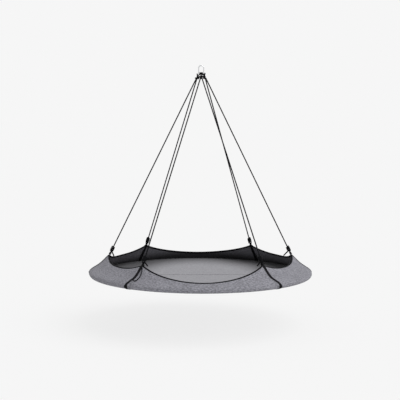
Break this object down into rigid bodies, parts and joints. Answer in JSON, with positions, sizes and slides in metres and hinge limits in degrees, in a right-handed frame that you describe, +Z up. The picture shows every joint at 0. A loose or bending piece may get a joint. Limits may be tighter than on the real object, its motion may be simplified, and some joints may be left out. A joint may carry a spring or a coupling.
{
  "type": "hanging swing bed",
  "caption": "Round hanging swing bed: padded hoop with sloping fabric wall and flat floor, hung by ropes from one snap hook.",
  "frame": {"origin": "inside of the snap hook's top bend, where the ceiling eye bears", "axes": "+Z up, X along the line of the left and right ropes, -Y the front that is seen first"},
  "size_m": [1.8382, 1.8294, 1.7214],
  "materials": {
    "hook_steel": "bright zinc",
    "ring_steel": "grey powder coat",
    "rope": "braided polyester",
    "webbing": "woven webbing",
    "foam": "closed cell foam",
    "cover_fabric": "heather weave",
    "lining_fabric": "plain weave",
    "binding_tape": "grosgrain tape",
    "floor_fabric": "heather weave"
  },
  "bodies": {
    "hook": {"hook_body": "hook_steel", "hook_rivet": "hook_steel"},
    "gate": {"hook_gate": "hook_steel", "gate_plunger": "hook_steel", "gate_spring": "hook_steel"},
    "bed": {"rope_loop_left": "rope", "rope_loop_middle": "rope", "rope_loop_right": "rope", "top_knot_left": "rope", "top_knot_middle": "rope", "top_knot_right": "rope", "rope_left": "rope", "rope_back_left": "rope", "rope_back_right": "rope", "rope_right": "rope", "rope_front_right": "rope", "rope_front_left": "rope", "peak_knot_left": "rope", "peak_knot_back_left": "rope", "peak_knot_back_right": "rope", "peak_knot_right": "rope", "peak_knot_front_right": "rope", "peak_knot_front_left": "rope", "strap_left": "webbing", "strap_back_left": "webbing", "strap_back_right": "webbing", "strap_right": "webbing", "strap_front_right": "webbing", "strap_front_left": "webbing", "ring_tube_front_right": "ring_steel", "ring_tube_back_right": "ring_steel", "ring_tube_back_left": "ring_steel", "ring_tube_front_left": "ring_steel", "ring_spigots": "ring_steel", "foam_sleeve_front_right": "foam", "foam_sleeve_back_right": "foam", "foam_sleeve_back_left": "foam", "foam_sleeve_front_left": "foam", "wall_left_back": "cover_fabric", "wall_back": "cover_fabric", "wall_right_back": "cover_fabric", "wall_right_front": "cover_fabric", "wall_front": "cover_fabric", "wall_left_front": "cover_fabric", "lining_left_back": "lining_fabric", "lining_back": "lining_fabric", "lining_right_back": "lining_fabric", "lining_right_front": "lining_fabric", "lining_front": "lining_fabric", "lining_left_front": "lining_fabric", "binding_left_back": "binding_tape", "binding_back": "binding_tape", "binding_right_back": "binding_tape", "binding_right_front": "binding_tape", "binding_front": "binding_tape", "binding_left_front": "binding_tape", "floor_front": "floor_fabric", "floor_back": "floor_fabric"}
  },
  "joints": [
    {"name": "gate_hinge", "type": "hinge", "parent": "hook", "child": "gate", "pos_m": [0.0205, 0, -0.048], "axis": [0, -1, 0], "range_deg": [0, 24], "stiffness_Nm_per_rad": 0.02, "springref_deg": -22.92},
    {"name": "swing", "type": "hinge", "parent": "hook", "child": "bed", "pos_m": [0, 0, -0.0625], "axis": [1, 0, 0], "range_deg": [-20, 20]}
  ]
}
